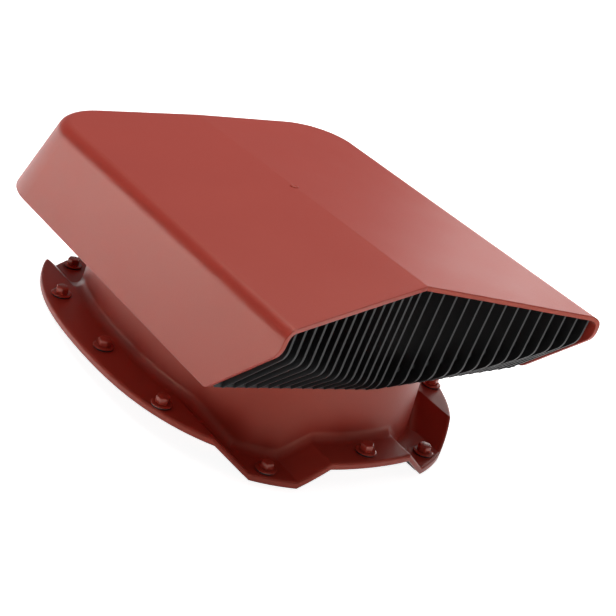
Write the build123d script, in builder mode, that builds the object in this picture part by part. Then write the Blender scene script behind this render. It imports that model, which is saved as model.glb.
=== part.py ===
"""Roof vent for a profiled metal roof.

One fixed assembly: a draped base flange with an oval neck and a hood floor, a
gabled hood, a finned grille in its mouth, an insect screen in the throat, a
foam gasket under the flange and the screws that hold it all together.

Frame: millimetres. Z is normal to the roof, Z = 0 is the pan of the metal
sheet, Y points up the slope, the mouth faces -Y and X runs across the ribs.
The origin is the centre of the flange.
"""

import os
from math import sqrt

from build123d import *

# metal sheet under the vent
rib_pitch = 127.2
rib_top = 63.4
valley_floor = 27.0
rib_height = 15.1

# base
neck_half_x = 99.0
neck_half_y = 135.0
neck_power = 2.6
neck_top_z = 76.0
neck_top_half_x = neck_half_x - 4.0
neck_top_half_y = neck_half_y - 3.0
neck_top_y = -3.0
flange_half_x = neck_half_x + 30.0
flange_half_y = neck_half_y + 27.0
flange_power = 2.41
flange_thick = 4.8
flange_edge = 1.6
root_radius = 6.0
lip_width = 4.5
recess_depth = 1.8
wall = 3.0
floor_thick = 3.2
floor_centre_z = 58.5

# hood
eave_half = neck_half_x + 24.0
eave_z = 133.5
eave_front_y = -neck_half_y - 56.3
skirt_half = eave_half + 4.9
skirt_z = eave_z - 64.8
skirt_front_y = eave_front_y + 51.8
kink_y = eave_front_y + 1.4
kink_z = eave_z - 15.1
rear_eave_y = neck_half_y - 9.2
rear_skirt_y = rear_eave_y + 47.4
ridge_front_rise = 7.6
ridge_rear_rise = 2.6
ridge_back = 33.8
corner_eave = 42.0
corner_skirt = 58.0
eave_radius = 8.5
kink_radius = 16.0
skirt_radius = 6.0

# grille
fin_thick = 1.5
fins_per_half = 14
fin_pitch = 0.069 * eave_half
fin_depth = 10.0
fin_lean = 0.129
fin_bend = 16.0
rail = 2.5
cheek_set_back = 7.0

# insect screen
screen_thick = 2.0
screen_frame = 5.0
screen_bar = 1.6
screen_step = 16.0

# fasteners
row_y = -7.0
row_step = 73.0
corner_x = 64.0
corner_y = neck_half_y + 3.0
screw_spots = [
    (0.0, -neck_half_y - 16), (corner_x, -corner_y), (neck_half_x + 12, row_y - row_step), (neck_half_x + 16, row_y),
    (neck_half_x + 12, row_y + row_step), (corner_x, corner_y), (0.0, neck_half_y + 16), (-corner_x, corner_y),
    (-neck_half_x - 12, row_y + row_step), (-neck_half_x - 16, row_y), (-neck_half_x - 12, row_y - row_step),
    (-corner_x, -corner_y),
]
screw_dia = 4.8
thread_dia = 4.6
thread_gap = 0.6
screw_length = 10.5
screw_tip = 2.0
screw_hole = 5.4
hex_across = 8.0
hex_height = 4.6
washer_dia = 14.0
washer_thick = 1.0
seal_dia = 13.4
seal_thick = 1.0
clamp_x = neck_half_x + 9.0
clamp_spots = [(clamp_x, -92.0), (clamp_x, 88.0), (-clamp_x, 88.0), (-clamp_x, -92.0)]
clamp_dia = 3.5
clamp_length = 18.0

rear_lean = (rear_skirt_y - rear_eave_y) / (eave_z - skirt_z)
rib_span = rib_pitch / 2 - valley_floor / 2 - rib_top / 2


def sheet_z(x):
    """Height of the metal sheet at x."""
    u = abs(x) % rib_pitch
    u = min(u, rib_pitch - u)
    return rib_height * min(max((rib_pitch / 2 - valley_floor / 2 - u) / rib_span, 0.0), 1.0)


def floor_z(x):
    """Underside of the hood floor at x."""
    return floor_centre_z + (skirt_z - floor_centre_z) * abs(x) / skirt_half


def gable_z(x, rise=ridge_front_rise):
    """Top of the hood at x, where the ridge stands that high over the eaves."""
    return eave_z + rise * (1 - abs(x) / eave_half)


def oval(half_x, half_y, power, centre_y=0.0, steps=36):
    """Points of a squared oval."""
    points = []
    for i in range(steps):
        edge = Vector(1, 0).rotate(Axis.Z, 360.0 * (i + 0.5) / steps)
        x = half_x * abs(edge.X) ** (2 / power) * (1 if edge.X > 0 else -1)
        y = half_y * abs(edge.Y) ** (2 / power) * (1 if edge.Y > 0 else -1)
        points.append((x, y + centre_y))
    return points


def oval_prism(half_x, half_y, power, z0, z1):
    """Upright prism on a squared oval."""
    with BuildPart() as prism:
        with BuildSketch(Plane.XY.offset(z0)):
            with BuildLine():
                Spline(*oval(half_x, half_y, power), periodic=True)
            make_face()
        extrude(amount=z1 - z0)
    return prism.part


def neck_loft(offset, z0, z1):
    """Neck solid between two heights, moved in by the offset."""
    def at(z):
        k = z / neck_top_z
        return (
            neck_half_x + (neck_top_half_x - neck_half_x) * k - offset,
            neck_half_y + (neck_top_half_y - neck_half_y) * k - offset,
            neck_top_y * k,
        )

    with BuildPart() as neck:
        for z in (z0, z1):
            half_x, half_y, y = at(z)
            with BuildSketch(Plane.XY.offset(z)):
                with BuildLine():
                    Spline(*oval(half_x, half_y, neck_power, y), periodic=True)
                make_face()
        loft(ruled=True)
    return neck.part


def draped(z0, z1, reach=flange_half_y + 12):
    """Layer that follows the ribs of the sheet between two offsets."""
    a = rib_top / 2
    b = rib_pitch / 2 - valley_floor / 2
    xs = [0, a, b, rib_pitch - b, rib_pitch - a, flange_half_x + 13]
    right = [(x, sheet_z(x)) for x in xs[1:]]
    row = [(-x, z) for x, z in reversed(right)] + right
    with BuildPart() as layer:
        with BuildSketch(Plane.XZ):
            with BuildLine():
                Polyline(*[(x, z + z1) for x, z in row], *[(x, z + z0) for x, z in reversed(row)], close=True)
            make_face()
        extrude(amount=reach, both=True)
    return layer.part


def on_neck_root(edge):
    """True for an edge where the neck's outside meets the top of the flange."""
    for p in (edge @ 0.1, edge @ 0.5, edge @ 0.9):
        k = p.Z / neck_top_z
        half_x = neck_half_x + (neck_top_half_x - neck_half_x) * k
        half_y = neck_half_y + (neck_top_half_y - neck_half_y) * k
        reach = (abs(p.X) / half_x) ** neck_power + (abs(p.Y - neck_top_y * k) / half_y) ** neck_power
        if abs(reach - 1) > 0.02 or abs(p.Z - sheet_z(p.X) - flange_thick) > 0.05:
            return False
    return True


def on_flange_rim(edge):
    """True for an edge along the top of the flange's outline."""
    for p in (edge @ 0.1, edge @ 0.5, edge @ 0.9):
        reach = (abs(p.X) / flange_half_x) ** flange_power + (abs(p.Y) / flange_half_y) ** flange_power
        if abs(reach - 1) > 0.02 or abs(p.Z - sheet_z(p.X) - flange_thick) > 0.05:
            return False
    return True


def floor_layer(z0, z1, y0, y1):
    """Layer that follows the shallow vee of the hood floor."""
    ends = skirt_half + 4
    row = [(-ends, floor_z(ends)), (0, floor_z(0)), (ends, floor_z(ends))]
    with BuildPart() as layer:
        with BuildSketch(Plane.XZ.offset(-y0)):
            with BuildLine():
                Polyline(*[(x, z + z1) for x, z in row], *[(x, z + z0) for x, z in reversed(row)], close=True)
            make_face()
        extrude(amount=-(y1 - y0))
    return layer.part


def hood_block(offset, edge):
    """Closed block inside the hood's outer skin, moved in by the offset."""
    front = eave_front_y - 48
    with BuildPart() as block:
        for z in (skirt_z - 12.0, eave_z + 20.0):
            k = (eave_z - z) / (eave_z - skirt_z)
            half = eave_half + (skirt_half - eave_half) * k - offset
            rear = rear_eave_y + (rear_skirt_y - rear_eave_y) * k - offset * sqrt(1 + rear_lean ** 2)
            with BuildSketch(Plane.XY.offset(z)):
                with BuildLine():
                    Polyline((-half, front), (half, front), (half, rear), (-half, rear), close=True)
                make_face()
                corners = [v for v in vertices() if v.Y > 0]
                fillet(corners, corner_eave + (corner_skirt - corner_eave) * k - offset)
        loft(ruled=True)
        # top of the block: a gable whose ridge sinks towards the rear
        wide = skirt_half + 25
        with BuildPart(mode=Mode.PRIVATE) as gable:
            for y in (front, rear_skirt_y + 10):
                k = (y - eave_front_y - ridge_back) / (rear_eave_y - eave_front_y - ridge_back)
                rise = ridge_front_rise + (ridge_rear_rise - ridge_front_rise) * k
                side = gable_z(wide, rise) - offset
                with BuildSketch(Plane.XZ.offset(-y)):
                    with BuildLine():
                        Polyline((-wide, side), (0, gable_z(0, rise) - offset), (wide, side), (wide, 40), (-wide, 40), close=True)
                    make_face()
            loft(ruled=True)
        add(gable.part, mode=Mode.INTERSECT)
        if edge:
            rim = [e for e in edges() if e.center().Z > eave_z - offset - 3 and e.center().Y > front + 1 and abs(e.center().X) > 1]
            fillet(rim, edge)
    return block.part


def side_plate(x0, x1, points, rounding=0.0, corners=()):
    """Plate in the YZ plane between two X positions."""
    with BuildPart() as plate:
        with BuildSketch(Plane.YZ.offset(x0)):
            with BuildLine():
                Polyline(*points, close=True)
            make_face()
            if rounding:
                picked = [v for v in vertices() if any(abs(v.X - y) + abs(v.Y - z) < 0.01 for y, z in corners)]
                fillet(picked, rounding)
        extrude(amount=x1 - x0)
    return plate.part


def beam(x0, points0, x1, points1):
    """Straight beam between two YZ sections."""
    with BuildPart() as bar:
        for x, points in ((x0, points0), (x1, points1)):
            with BuildSketch(Plane.YZ.offset(x)):
                with BuildLine():
                    Polyline(*points, close=True)
                make_face()
        loft(ruled=True)
    return bar.part


def finish(shape, name, colour):
    """Label, colour and export one piece."""
    shape.label = name
    shape.color = Color(*colour)
    export_step(shape, f"parts/{name}.step")


os.makedirs("parts", exist_ok=True)
red = (0.50, 0.14, 0.11)
black = (0.02, 0.02, 0.02)
steel = (0.70, 0.70, 0.72)

# hood: outer block less inner block, cut to the skirt line and to the vee of the mouth
outer = hood_block(0.0, eave_radius)
inner = hood_block(wall, eave_radius - wall)
seat = hood_block(wall + 0.3, 0.0)

with BuildPart() as hood:
    add(outer)
    add(inner, mode=Mode.SUBTRACT)
    with BuildSketch(Plane.YZ.offset(-160)):
        with BuildLine():
            Polyline(
                (eave_front_y, 160), (eave_front_y, eave_z), (kink_y, kink_z), (skirt_front_y, skirt_z),
                (rear_skirt_y + 20, skirt_z), (rear_skirt_y + 20, 160), close=True,
            )
        make_face()
        fillet([v for v in vertices() if abs(v.X - kink_y) < 0.01], kink_radius)
        fillet([v for v in vertices() if abs(v.X - skirt_front_y) < 0.01], skirt_radius)
    extrude(amount=320, mode=Mode.INTERSECT)
    with BuildSketch(Plane.XY.offset(30)):
        with BuildLine():
            slope = ridge_back / eave_half
            out = eave_half + 15
            Polyline(
                (-out, eave_front_y - 15 * slope), (0, eave_front_y + ridge_back),
                (out, eave_front_y - 15 * slope), (out, -260), (-out, -260), close=True,
            )
        make_face()
    extrude(amount=130, mode=Mode.SUBTRACT)
    # four posts that the clamp screws bite into, cut off at the floor
    for x, y in clamp_spots:
        with BuildPart(mode=Mode.PRIVATE) as post:
            with BuildSketch(Plane.XY.offset(55)):
                with Locations((x, y)):
                    Circle(4.5)
            extrude(amount=90)
            add(inner, mode=Mode.INTERSECT)
            add(floor_layer(-30, floor_thick, -200, rear_skirt_y), mode=Mode.SUBTRACT)
            with BuildSketch(Plane.XY.offset(50)):
                with Locations((x, y)):
                    Circle(clamp_dia / 2)
            extrude(amount=36, mode=Mode.SUBTRACT)
        add(post.part)

# base: draped flange with a downturned lip, neck and hood floor in one moulding
flange = oval_prism(flange_half_x, flange_half_y, flange_power, -5, 60) & draped(0.3, flange_thick)
recess = oval_prism(flange_half_x - lip_width, flange_half_y - lip_width, flange_power, -5, 60) & draped(-1, recess_depth)
with BuildPart() as base:
    add(flange)
    add(recess, mode=Mode.SUBTRACT)
    with BuildPart(mode=Mode.PRIVATE) as neck:
        add(neck_loft(0, 0.3, neck_top_z))
        add(draped(-60, 0.3), mode=Mode.SUBTRACT)
    add(neck.part)
    fillet([e for e in edges() if on_neck_root(e)], root_radius)
    fillet([e for e in edges() if on_flange_rim(e)], flange_edge)
    add(floor_layer(0, floor_thick, skirt_front_y + 3.0, rear_skirt_y + 5) & seat)
    add(neck_loft(wall, -1, neck_top_z + 1), mode=Mode.SUBTRACT)
    with Locations(*[(x, y, 20) for x, y in screw_spots]):
        Cylinder(screw_hole / 2, 60, mode=Mode.SUBTRACT)
    with Locations(*[(x, y, floor_z(x)) for x, y in clamp_spots]):
        Cylinder(clamp_dia / 2 + 0.2, 30, mode=Mode.SUBTRACT)

# gasket: foam ring that fills the recess under the flange
with BuildPart() as gasket:
    add(oval_prism(flange_half_x - lip_width, flange_half_y - lip_width, flange_power, -5, 60) & draped(0, recess_depth))
    add(neck_loft(0, -4, neck_top_z), mode=Mode.SUBTRACT)
    with Locations(*[(x, y, 20) for x, y in screw_spots]):
        Cylinder(screw_hole / 2, 60, mode=Mode.SUBTRACT)

# insect screen: oval rim with crossed bars, resting on the top of the neck
with BuildPart() as screen:
    rim_x, rim_y = neck_top_half_x, neck_top_half_y
    with BuildSketch(Plane.XY.offset(neck_top_z)):
        with BuildLine():
            Spline(*oval(rim_x, rim_y, neck_power, neck_top_y), periodic=True)
        make_face()
    extrude(amount=screen_thick)
    with BuildPart(mode=Mode.PRIVATE) as holes:
        rows = int((rim_y - screen_frame) / screen_step) + 1
        columns = int((rim_x - screen_frame) / screen_step) + 1
        with Locations((0, neck_top_y, neck_top_z + screen_thick / 2)):
            with GridLocations(screen_step, screen_step, 2 * columns, 2 * rows):
                Box(screen_step - screen_bar, screen_step - screen_bar, screen_thick)
        with BuildSketch(Plane.XY.offset(neck_top_z - 1)):
            with BuildLine():
                Spline(*oval(rim_x - screen_frame, rim_y - screen_frame, neck_power, neck_top_y), periodic=True)
            make_face()
        extrude(amount=screen_thick + 2, mode=Mode.INTERSECT)
    add(holes.part, mode=Mode.SUBTRACT)


def mouth(x):
    """Front profile of the grille at x: top, kink and lower edge as (y, z)."""
    u = abs(x) / eave_half
    top_y = eave_front_y + ridge_back * (1 - u) + 0.8
    top_z = gable_z(x) - wall
    bend_z = eave_z + eave_half * (-0.56 + 0.32 * u + 0.12 * u * u)
    bend_y = top_y + fin_lean * (top_z - bend_z)
    return (top_y, top_z), (bend_y, bend_z), (skirt_front_y, floor_z(x))


def fin_outline(x):
    """Closed outline of one fin at x."""
    (ty, tz), (by, bz), (ly, lz) = mouth(x)
    d = fin_depth
    return [
        (ty - fin_lean * 6, tz + 6), (by, bz), (ly, lz), (ly + 3, lz), (ly + 3, lz + d),
        (by + d, bz + 0.9 * d), (ty + d - fin_lean * 6, tz + 6),
    ]


# grille: fins, two cheeks and four rails in one moulding, trimmed to the hood's inner skin
with BuildPart() as grille:
    pieces = []
    for i in range(-fins_per_half, fins_per_half):
        x = (i + 0.5) * fin_pitch
        pieces.append(side_plate(x - fin_thick / 2, x + fin_thick / 2, fin_outline(x), fin_bend, [mouth(x)[1]]))
    for side in (-1, 1):
        stations = [0.0, eave_half / 2, eave_half * 0.98]
        for x0, x1 in zip(stations, stations[1:]):
            sections = []
            for x in (x0, x1):
                (ty, tz), (by, bz), (ly, lz) = mouth(x)
                cy, cz = by + 6.5, bz + 6.5
                sections.append((
                    [(ty + 7, tz - 1.5), (ty + 7 + rail, tz - 1.5), (ty + 7 + rail, tz + 6), (ty + 7, tz + 6)],
                    [(cy, cz - 1.5), (cy + rail, cz - 1.5), (cy + rail, cz + 1.5), (cy, cz + 1.5)],
                    [(ly + 3 - rail, lz), (ly + 3, lz), (ly + 3, lz + 8), (ly + 3 - rail, lz + 8)],
                ))
            for low, high in zip(*sections):
                pieces.append(beam(side * x0, low, side * x1, high))
    add(pieces)
    add(inner, mode=Mode.INTERSECT)
    for side in (-1, 1):
        with BuildPart(mode=Mode.PRIVATE) as cheek:
            outline = [(y + cheek_set_back, z) for y, z in fin_outline(eave_half)]
            add(side_plate(side * (eave_half - 12), side * (skirt_half + 1), outline))
            add(inner, mode=Mode.INTERSECT)
            add(hood_block(wall + 2.2, 0.0), mode=Mode.SUBTRACT)
            add(floor_layer(-1, floor_thick, skirt_front_y + 3.0, 0), mode=Mode.SUBTRACT)
        add(cheek.part)

finish(hood.part, "hood", red)
finish(base.part, "base", red)
finish(grille.part, "grille", black)
finish(gasket.part, "gasket", black)
finish(screen.part, "screen", steel)

# roofing screws, each with a steel washer and a rubber seal
for n, (x, y) in enumerate(screw_spots, 1):
    z = sheet_z(x) + flange_thick
    with BuildPart() as seal:
        with Locations((x, y, z)):
            Cylinder(seal_dia / 2, seal_thick, align=(Align.CENTER, Align.CENTER, Align.MIN))
            Cylinder(screw_dia / 2, seal_thick, align=(Align.CENTER, Align.CENTER, Align.MIN), mode=Mode.SUBTRACT)
    with BuildPart() as washer:
        with Locations((x, y, z + seal_thick)):
            Cylinder(washer_dia / 2, washer_thick, align=(Align.CENTER, Align.CENTER, Align.MIN))
            Cylinder(screw_dia / 2, washer_thick, align=(Align.CENTER, Align.CENTER, Align.MIN), mode=Mode.SUBTRACT)
        fillet(washer.edges().group_by(Axis.Z)[-1].sort_by(SortBy.RADIUS)[-1], 0.5)
    with BuildPart() as screw:
        seat_z = z + seal_thick + washer_thick
        with BuildSketch(Plane.XY.offset(seat_z)):
            with Locations((x, y)):
                RegularPolygon(hex_across / 2, 6, major_radius=False, rotation=17.0 * n)
        extrude(amount=hex_height)
        chamfer(screw.faces().sort_by(Axis.Z)[-1].edges(), 0.5)
        thread_z = sheet_z(x) - thread_gap
        tip_z = seat_z - screw_length + screw_tip
        with Locations((x, y, seat_z)):
            Cylinder(screw_dia / 2, seat_z - thread_z, align=(Align.CENTER, Align.CENTER, Align.MAX))
        with Locations((x, y, thread_z)):
            Cylinder(thread_dia / 2, thread_z - tip_z, align=(Align.CENTER, Align.CENTER, Align.MAX))
        with Locations((x, y, tip_z)):
            Cone(0.6, thread_dia / 2, screw_tip, align=(Align.CENTER, Align.CENTER, Align.MAX))
    finish(seal.part, f"seal_{n:02d}", black)
    finish(washer.part, f"washer_{n:02d}", red)
    finish(screw.part, f"screw_{n:02d}", red)

# clamp screws that pull the floor of the base up against the hood's posts
for n, (x, y) in enumerate(clamp_spots, 1):
    z = floor_z(x)
    with BuildPart() as clamp:
        with Locations((x, y, z + 0.4)):
            Cylinder(3.5, 3.0, align=(Align.CENTER, Align.CENTER, Align.MAX))
        fillet(clamp.edges().group_by(Axis.Z)[0], 1.0)
        add(floor_layer(0, floor_thick, -200, rear_skirt_y), mode=Mode.SUBTRACT)
        with Locations((x, y, z - 1.5)):
            Cylinder(clamp_dia / 2, clamp_length, align=(Align.CENTER, Align.CENTER, Align.MIN))
    finish(clamp.part, f"clamp_screw_{n}", steel)
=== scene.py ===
from math import cos, pi, radians

import bmesh
import bpy
from mathutils import Matrix, Vector


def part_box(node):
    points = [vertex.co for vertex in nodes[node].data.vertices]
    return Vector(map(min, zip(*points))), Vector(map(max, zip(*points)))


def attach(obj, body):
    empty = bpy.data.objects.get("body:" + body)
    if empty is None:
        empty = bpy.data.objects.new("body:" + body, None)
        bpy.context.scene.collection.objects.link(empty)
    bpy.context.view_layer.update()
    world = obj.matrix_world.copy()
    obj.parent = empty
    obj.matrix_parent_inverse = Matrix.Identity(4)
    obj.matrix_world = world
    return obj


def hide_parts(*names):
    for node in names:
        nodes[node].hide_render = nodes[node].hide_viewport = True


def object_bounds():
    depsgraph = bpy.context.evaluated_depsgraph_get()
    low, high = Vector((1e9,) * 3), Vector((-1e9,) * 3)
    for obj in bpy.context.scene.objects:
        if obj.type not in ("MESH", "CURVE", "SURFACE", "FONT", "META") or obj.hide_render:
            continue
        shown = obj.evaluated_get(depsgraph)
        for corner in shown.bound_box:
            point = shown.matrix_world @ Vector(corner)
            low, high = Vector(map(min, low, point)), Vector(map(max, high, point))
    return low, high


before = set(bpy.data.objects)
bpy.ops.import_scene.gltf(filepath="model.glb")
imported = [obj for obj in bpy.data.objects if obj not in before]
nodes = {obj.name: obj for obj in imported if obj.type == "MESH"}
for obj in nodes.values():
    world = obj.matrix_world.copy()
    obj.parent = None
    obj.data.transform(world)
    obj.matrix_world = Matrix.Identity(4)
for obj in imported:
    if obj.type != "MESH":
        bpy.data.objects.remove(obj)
cad_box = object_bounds()


# Base
# One injection moulding in brick-red plastic: a flange draped over the ribs of
# the roof sheet, the oval neck and the floor of the hood. Every fold is rounded
# and the face has the fine satin tooth of an etched mould.

class Sock:
    """A socket of a node tree that can stand in a Python expression."""

    def __init__(self, web, value):
        self.web = web
        self.value = value

    def _math(self, operation, *values):
        return self.web.node("ShaderNodeMath", {"operation": operation}, dict(enumerate(values)))[0]

    def __add__(self, other):
        return self._math("ADD", self, other)

    def __radd__(self, other):
        return self._math("ADD", other, self)

    def __sub__(self, other):
        return self._math("SUBTRACT", self, other)

    def __rsub__(self, other):
        return self._math("SUBTRACT", other, self)

    def __mul__(self, other):
        return self._math("MULTIPLY", self, other)

    def __rmul__(self, other):
        return self._math("MULTIPLY", other, self)

    def __or__(self, other):
        return self._math("MAXIMUM", self, other)


class Web:
    """The nodes of one material or of the world."""

    def __init__(self, owner, output):
        owner.use_nodes = True
        self.tree = owner.node_tree
        self.tree.nodes.clear()
        self.output = self.tree.nodes.new(output)

    def show(self, surface):
        """Makes that shader the one that shows."""
        self.tree.links.new(surface.value, self.output.inputs["Surface"])

    def node(self, kind, settings, sockets):
        """Adds one node: its settings first, then the values or links of its sockets."""
        made = self.tree.nodes.new(kind)
        for name, value in settings.items():
            setattr(made, name, value)
        for name, value in sockets.items():
            if isinstance(value, Sock):
                self.tree.links.new(value.value, made.inputs[name])
            else:
                made.inputs[name].default_value = value
        return [Sock(self, output) for output in made.outputs]


class Finish(Web):
    """One procedural material on a Principled shader."""

    def __init__(self, name, **constants):
        self.material = bpy.data.materials.new(name)
        super().__init__(self.material, "ShaderNodeOutputMaterial")
        surface = self.node("ShaderNodeBsdfPrincipled", {}, {})[0]
        self.show(surface)
        self.shader = surface.value.node
        for socket, value in constants.items():
            self.set(socket.replace("_", " "), value)

    def set(self, socket, value):
        """Feeds one socket of the shader with a constant or a link."""
        if isinstance(value, Sock):
            self.tree.links.new(value.value, self.shader.inputs[socket])
        else:
            self.shader.inputs[socket].default_value = value

    def noise(self, size, detail=2.0, rough=0.5):
        """Noise from 0 to 1 whose features are about that size in metres."""
        place = self.node("ShaderNodeTexCoord", {}, {})[3]
        return self.node("ShaderNodeTexNoise", {}, {
            "Vector": place, "Scale": 1.0 / size, "Detail": detail, "Roughness": rough})[0]

    def blend(self, share, first, second):
        """Mix of two colours."""
        return self.node("ShaderNodeMix", {"data_type": "RGBA"}, {
            0: share, 6: (*first, 1.0), 7: (*second, 1.0)})[2]

    def relief(self, height, strength, distance, edge=0.0):
        """Fine relief into Normal, over edges rounded by that radius."""
        sockets = {"Strength": strength, "Distance": distance, "Height": height}
        if edge:
            sockets["Normal"] = self.node("ShaderNodeBevel", {"samples": 6}, {"Radius": edge})[0]
        self.set("Normal", self.node("ShaderNodeBump", {}, sockets)[0])


def wear(finish, piece):
    """Gives the finish to the piece."""
    piece.data.materials.clear()
    piece.data.materials.append(finish.material)


shell = Finish("shell_red", Specular_IOR_Level=0.42, Specular_Tint=(1.0, 0.88, 0.68, 1.0))
clouds = shell.noise(0.045, 3.0)
specks = shell.noise(0.0016)
tooth = shell.noise(0.0007, 3.0, 0.6)
shell.set("Base Color", shell.blend(
    0.5 * clouds + 0.5 * specks, (0.325, 0.027, 0.0165), (0.355, 0.032, 0.0195)))
shell.set("Roughness", 0.33 + 0.10 * clouds + 0.05 * tooth)
shell.relief(tooth + 0.4 * specks, 0.25, 0.0002, 0.0012)
wear(shell, nodes["base"])

# Gasket
# A ring of black closed-cell foam, cut from sheet and stuck in the recess under
# the flange. Its face is matt and full of fine pores.
foam = Finish("foam_black", Specular_IOR_Level=0.25)
pores = foam.noise(0.0011, 2.0, 0.7)
foam.set("Base Color", foam.blend(pores, (0.016, 0.016, 0.016), (0.040, 0.040, 0.041)))
foam.set("Roughness", 0.80 + 0.15 * pores)
foam.relief(pores, 0.6, 0.0005)
wear(foam, nodes["gasket"])

# Insect screen
# A woven stainless mesh of thin wires in an oval pressed rim, dropped on the top
# of the neck. It stands for the coarse grid of the CAD node.
rim_low, rim_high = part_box("screen")
rim_middle = (rim_low + rim_high) / 2
rim_half = (rim_high - rim_low) / 2
rim_width = 0.005
oval_power = 2.6
mesh_pitch = 0.004
wire = 0.0007


def alone():
    """Leaves edit mode with nothing selected."""
    if bpy.context.object and bpy.context.object.mode != "OBJECT":
        bpy.ops.object.mode_set(mode="OBJECT")
    bpy.ops.object.select_all(action="DESELECT")


def rest_at_origin(piece):
    """Puts the piece's place, turn and scale into its mesh."""
    alone()
    piece.select_set(True)
    bpy.context.view_layer.objects.active = piece
    bpy.ops.object.transform_apply(location=True, rotation=True, scale=True)


def apply_modifiers(piece):
    """Applies all modifiers of the piece."""
    alone()
    piece.select_set(True)
    bpy.context.view_layer.objects.active = piece
    for modifier in list(piece.modifiers):
        bpy.ops.object.modifier_apply(modifier=modifier.name)


def reach(x, y, inset):
    """Below 1 inside the screen's oval moved in by the inset."""
    return (abs(x - rim_middle.x) / (rim_half.x - inset)) ** oval_power \
        + (abs(y - rim_middle.y) / (rim_half.y - inset)) ** oval_power


alone()
bpy.ops.mesh.primitive_grid_add(
    x_subdivisions=round(2 * rim_half.x / mesh_pitch), y_subdivisions=round(2 * rim_half.y / mesh_pitch),
    size=1.0, location=rim_middle)
screen = bpy.context.object
screen.name = "screen_mesh"
screen.scale = (2 * rim_half.x, 2 * rim_half.y, 1.0)
rest_at_origin(screen)
bpy.ops.object.mode_set(mode="EDIT")
bpy.ops.mesh.select_all(action="DESELECT")
cloth = bmesh.from_edit_mesh(screen.data)
for face in cloth.faces:
    face.select_set(any(reach(v.co.x, v.co.y, 0.0006) > 1 for v in face.verts))
bmesh.update_edit_mesh(screen.data)
bpy.ops.mesh.delete(type="FACE")
alone()
weave = screen.modifiers.new("weave", "WIREFRAME")
weave.thickness = wire
weave.use_boundary = True
apply_modifiers(screen)

alone()
bpy.ops.mesh.primitive_circle_add(vertices=96, radius=1.0, fill_type="NGON", location=(0, 0, rim_low.z))
rim = bpy.context.object
rim.name = "screen_rim"
rest_at_origin(rim)
for vertex in rim.data.vertices:
    x, y = vertex.co.x, vertex.co.y
    vertex.co.x = rim_middle.x + rim_half.x * abs(x) ** (2 / oval_power) * (1 if x > 0 else -1)
    vertex.co.y = rim_middle.y + rim_half.y * abs(y) ** (2 / oval_power) * (1 if y > 0 else -1)
bpy.ops.object.mode_set(mode="EDIT")
bpy.ops.mesh.select_all(action="SELECT")
bpy.ops.mesh.inset(thickness=rim_width)
bpy.ops.mesh.delete(type="FACE")
bpy.ops.mesh.select_all(action="SELECT")
bpy.ops.mesh.extrude_region_move(TRANSFORM_OT_translate={"value": (0, 0, 2 * rim_half.z)})
bpy.ops.mesh.select_all(action="SELECT")
bpy.ops.mesh.normals_make_consistent(inside=False)
alone()
soft = rim.modifiers.new("soft", "BEVEL")
soft.width = 0.0005
soft.segments = 2
soft.limit_method = "ANGLE"
apply_modifiers(rim)

stainless = Finish("screen_steel", Metallic=1.0)
smear = stainless.noise(0.006, 3.0)
stainless.set("Base Color", stainless.blend(smear, (0.40, 0.40, 0.41), (0.55, 0.55, 0.56)))
stainless.set("Roughness", 0.32 + 0.14 * smear)
stainless.relief(smear, 0.1, 0.0001)
for piece in (screen, rim):
    wear(stainless, piece)
    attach(piece, "root")
    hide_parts("screen")

# Grille
# One black moulding that is pushed into the mouth before the hood goes on: thin
# upright fins, cross rails and two cheeks, in a satin plastic that holds dust.
black = Finish("grille_black", Specular_IOR_Level=0.28)
dust = black.noise(0.012, 4.0)
grain = black.noise(0.0009)
black.set("Base Color", black.blend(dust, (0.0035, 0.0035, 0.004), (0.0085, 0.0085, 0.009)))
black.set("Roughness", 0.38 + 0.14 * dust)
black.relief(grain, 0.2, 0.0002, 0.0003)
wear(black, nodes["grille"])

# Hood
# The gabled cover, moulded in the same plastic as the base and open at the front
# and below. The gate of its mould left one small round mark on the ridge.
gate_spot = Vector((0.0, -0.0085, 0.13823))
gate_radius = 0.0030
gate_rise = 0.0007


def turned(name, sides, profile, ends=True):
    """Round piece whose outline, as (radius, height), is drawn up ring by ring."""
    alone()
    bpy.ops.mesh.primitive_circle_add(vertices=sides, radius=profile[0][0])
    piece = bpy.context.object
    piece.name = name
    bpy.ops.object.mode_set(mode="EDIT")
    bpy.ops.mesh.select_all(action="SELECT")
    bpy.ops.transform.translate(value=(0, 0, profile[0][1]))
    if ends:
        bpy.ops.mesh.edge_face_add()
        bpy.ops.mesh.select_all(action="SELECT")
    for (radius, height), (wider, higher) in zip(profile, profile[1:]):
        bpy.ops.mesh.extrude_region_move(TRANSFORM_OT_translate={"value": (0, 0, higher - height)})
        bpy.ops.transform.resize(
            value=(wider / radius, wider / radius, 1), center_override=(0, 0, higher))
    bpy.ops.mesh.select_all(action="SELECT")
    bpy.ops.mesh.remove_doubles(threshold=0.000005)
    bpy.ops.mesh.normals_make_consistent(inside=False)
    alone()
    return piece


def smooth(piece, degrees):
    """Smooth shading but for edges sharper than that."""
    alone()
    piece.select_set(True)
    bpy.context.view_layer.objects.active = piece
    bpy.ops.object.shade_smooth_by_angle(angle=radians(degrees))


wear(shell, nodes["hood"])
gate = turned("gate_mark", 32, [
    (gate_radius, -0.0006), (gate_radius, 0.6 * gate_rise), (0.92 * gate_radius, gate_rise),
    (0.45 * gate_radius, gate_rise), (0.38 * gate_radius, 0.7 * gate_rise)])
gate.data.transform(Matrix.Translation(gate_spot))
smooth(gate, 35)
wear(shell, gate)
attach(gate, "root")

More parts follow.
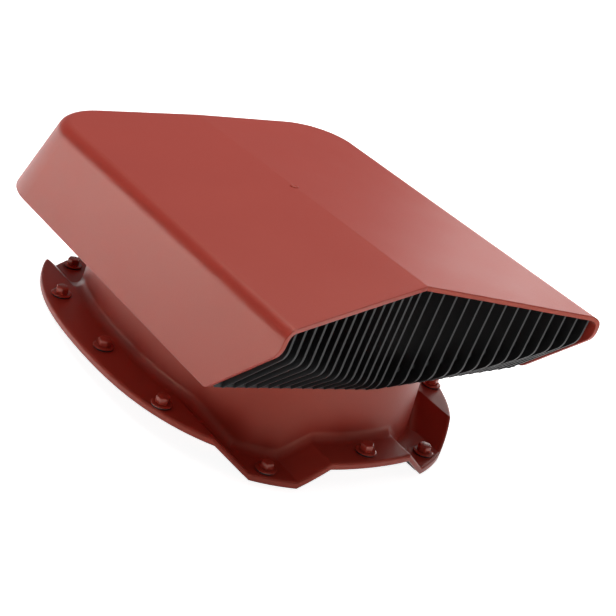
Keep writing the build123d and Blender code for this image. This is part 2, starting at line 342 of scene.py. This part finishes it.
# Clamp screws
# Four zinc-plated pan-head screws with a cross recess, driven from below through
# the floor of the base into posts inside the hood.
zinc = Finish("clamp_steel", Metallic=1.0)
bloom = zinc.noise(0.0022, 3.0)
zinc.set("Base Color", zinc.blend(bloom, (0.46, 0.46, 0.45), (0.62, 0.61, 0.58)))
zinc.set("Roughness", 0.26 + 0.20 * bloom)
zinc.relief(bloom, 0.15, 0.0001)


def copies(piece, targets, turn=0.0):
    """Places a copy of the piece, with its own mesh, at each (name, spot) target."""
    made = []
    for n, (name, spot) in enumerate(targets, 1):
        copy = piece.copy()
        copy.data = piece.data.copy()
        copy.name = name
        copy.data.transform(Matrix.Translation(spot) @ Matrix.Rotation(turn * n, 4, "Z"))
        bpy.context.scene.collection.objects.link(copy)
        made.append(copy)
    bpy.data.objects.remove(piece)
    return made


low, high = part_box("clamp_screw_1")
clamp_rise = high.z - low.z
pan = turned("clamp", 32, [
    (0.0010, 0.0), (0.0020, 0.00010), (0.0028, 0.00045), (0.0033, 0.0010), (0.0035, 0.0016), (0.0035, 0.0022),
    (0.0018, 0.0022), (0.00175, 0.0060), (0.00175, clamp_rise - 0.0014), (0.0004, clamp_rise)])
cutters = []
for angle in (0.0, pi / 2):
    alone()
    bpy.ops.mesh.primitive_cube_add(size=1.0, rotation=(0, 0, angle), scale=(0.0036, 0.0008, 0.0030))
    cutters.append(bpy.context.object)
for cutter in cutters:
    recess = pan.modifiers.new("recess", "BOOLEAN")
    recess.operation = "DIFFERENCE"
    recess.solver = "EXACT"
    recess.object = cutter
apply_modifiers(pan)
for cutter in cutters:
    bpy.data.objects.remove(cutter)
smooth(pan, 35)
targets = []
for n in range(1, 5):
    low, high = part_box(f"clamp_screw_{n}")
    targets.append((f"clamp_{n}", Vector(((low.x + high.x) / 2, (low.y + high.y) / 2, low.z))))
for n, piece in enumerate(copies(pan, targets, 0.7), 1):
    wear(zinc, piece)
    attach(piece, "root")
    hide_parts(f"clamp_screw_{n}")

# Roofing screws
# Twelve self-tapping hex screws through the flange into the sheet. Each has a
# steel washer, painted with its head, bonded to a rubber seal that swells a little.
rubber = Finish("rubber_black", Specular_IOR_Level=0.35)
chalk = rubber.noise(0.0015, 3.0)
rubber.set("Base Color", rubber.blend(chalk, (0.012, 0.012, 0.012), (0.030, 0.030, 0.030)))
rubber.set("Roughness", 0.60 + 0.20 * chalk)
rubber.relief(chalk, 0.2, 0.0002)

paint = Finish("screw_red", Specular_IOR_Level=0.6, Specular_Tint=(1.0, 0.92, 0.80, 1.0))
orange_peel = paint.noise(0.0018)
paint.set("Base Color", paint.blend(orange_peel, (0.330, 0.028, 0.017), (0.370, 0.036, 0.021)))
paint.set("Roughness", 0.20 + 0.10 * orange_peel)
paint.relief(orange_peel, 0.12, 0.0002)

hole = 0.0024
seal = turned("seal", 40, [
    (hole, 0.0), (0.0064, 0.0), (0.0066, 0.0002), (0.0067, 0.0005), (0.0066, 0.0008), (0.0064, 0.0010),
    (hole, 0.0010), (hole, 0.0)], ends=False)
smooth(seal, 40)
washer = turned("washer", 48, [
    (hole, 0.0), (0.0067, 0.0), (0.0070, 0.00020), (0.0070, 0.00055), (0.0067, 0.00085), (0.0060, 0.0010),
    (0.0050, 0.00096), (hole, 0.00096), (hole, 0.0)], ends=False)
smooth(washer, 40)

head_rise = 0.0046
head_flat = 0.0040
head_chamfer = 0.0005
grip = 0.0074
thread_radius = 0.0023
thread_root = 0.78
thread_pitch = 0.0009
thread_valley = 0.0007
low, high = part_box("screw_01")
screw_rise = high.z - low.z
thread_rise = screw_rise - head_rise - grip
corner = head_flat / cos(pi / 6)
head = turned("screw", 6, [
    (corner, 0.0), (corner, head_rise - head_chamfer), (corner - head_chamfer, head_rise)])
edges = head.modifiers.new("edges", "BEVEL")
edges.width = 0.00022
edges.segments = 2
edges.limit_method = "ANGLE"
edges.angle_limit = radians(25)
apply_modifiers(head)
smooth(head, 30)
rings = [(0.0003, 0.0), (0.0012, 0.0012)]
height = 0.0016
while height < thread_rise - thread_pitch:
    crest = min(thread_radius, 0.0008 + 0.55 * height)
    root = thread_root * crest
    rings += [(crest, height), (root, height + thread_pitch / 2), (root, height + thread_valley)]
    height += thread_pitch
rings += [(thread_radius, thread_rise), (thread_radius, screw_rise - head_rise + 0.0002)]
shank = turned("shank", 20, rings)
shank.data.transform(Matrix.Translation((0, 0, head_rise - screw_rise)))
smooth(shank, 50)
alone()
for piece in (shank, head):
    piece.select_set(True)
bpy.context.view_layer.objects.active = head
bpy.ops.object.join()


def spots(node, part, drop=None):
    """Names and places for twelve copies: foot of each node, or that far below its top."""
    made = []
    for n in range(1, 13):
        low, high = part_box(f"{node}_{n:02d}")
        z = low.z if drop is None else high.z - drop
        made.append((f"{part}_{n:02d}", Vector(((low.x + high.x) / 2, (low.y + high.y) / 2, z))))
    return made


seals = copies(seal, spots("seal", "rubber_seal"))
washers = copies(washer, spots("washer", "painted_washer"))
screws = copies(head, spots("screw", "hex_screw", head_rise), radians(17))
for kind, pieces, finish, slot in (
        ("seal", seals, rubber, "rubber_black"), ("washer", washers, paint, "screw_red"),
        ("screw", screws, paint, "screw_red")):
    for n, piece in enumerate(pieces, 1):
        wear(finish, piece)
        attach(piece, "root")
        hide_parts(f"{kind}_{n:02d}")

# Floor, light and camera
# A wide pale floor just under the part and a soft white dome. One soft lamp is
# above, one low at the right, and two light the floor beside and before the part.
floor_gap = 0.0005
alone()
bpy.ops.mesh.primitive_plane_add(size=40.0, location=(0, 0, cad_box[0][2] - floor_gap))
floor = bpy.context.object
floor.name = "floor"
floor_white = bpy.data.materials.new("floor_white")
ground = Web(floor_white, "ShaderNodeOutputMaterial")
rays = ground.node("ShaderNodeLightPath", {}, {})
camera_ray, glossy_ray, transmission_ray = rays[0], rays[3], rays[6]
matt = ground.node("ShaderNodeBsdfDiffuse", {}, {"Color": (0.8, 0.8, 0.8, 1.0)})[0]
glow = ground.node("ShaderNodeEmission", {}, {
    "Color": (0.9, 0.9, 0.9, 1.0), "Strength": camera_ray | glossy_ray | transmission_ray})[0]
ground.show(ground.node("ShaderNodeAddShader", {}, {0: matt, 1: glow})[0])
floor.data.materials.append(floor_white)

world = bpy.data.worlds.new("studio")
bpy.context.scene.world = world
sky = Web(world, "ShaderNodeOutputWorld")
direction = sky.node("ShaderNodeTexCoord", {}, {})[0]
rise = sky.node("ShaderNodeSeparateXYZ", {}, {0: direction})[2]
dome = sky.node("ShaderNodeMapRange", {"interpolation_type": "SMOOTHSTEP"}, {
    "Value": rise, "From Min": 0.05, "From Max": 0.45, "To Min": 0.3, "To Max": 0.25})[0]
rays = sky.node("ShaderNodeLightPath", {}, {})
sky.show(sky.node("ShaderNodeBackground", {}, {
    "Color": (1.0, 1.0, 1.0, 1.0), "Strength": dome | rays[0] | rays[6]})[0])


def lamp(name, place, size, power, aim=(0.0, 0.0, 0.1), spread=180.0):
    """Soft rectangular lamp that points at a spot."""
    data = bpy.data.lights.new(name, "AREA")
    data.shape = "RECTANGLE"
    data.size, data.size_y = size
    data.energy = power
    data.spread = radians(spread)
    made = bpy.data.objects.new(name, data)
    made.location = place
    made.rotation_euler = (Vector(aim) - Vector(place)).to_track_quat("-Z", "Y").to_euler()
    bpy.context.scene.collection.objects.link(made)


lamp("top", (0.25, 0.30, 1.5), (0.9, 0.9), 19.5)
lamp("right", (1.47, 0.70, 0.37), (0.9, 0.5), 5.0)
lamp("floor_left", (-0.95, 0.48, 0.9), (0.7, 1.1), 20.0, (-0.95, 0.48, 0.0), 70.0)
lamp("floor_front", (-0.10, -1.05, 0.9), (1.2, 0.7), 15.0, (-0.10, -1.05, 0.0), 70.0)

camera = bpy.data.objects.new("camera", bpy.data.cameras.new("camera"))
camera.data.sensor_width = 36.0
camera.data.lens = 89.324
camera.data.clip_start = 0.01
camera.data.shift_x = -0.0024
camera.rotation_euler = (1.15188461, -0.26937089, -0.59270527)
camera.location = (-0.604616, -0.761684, 0.468767)
bpy.context.scene.collection.objects.link(camera)
bpy.context.scene.camera = camera
bpy.context.scene.view_settings.view_transform = "Standard"
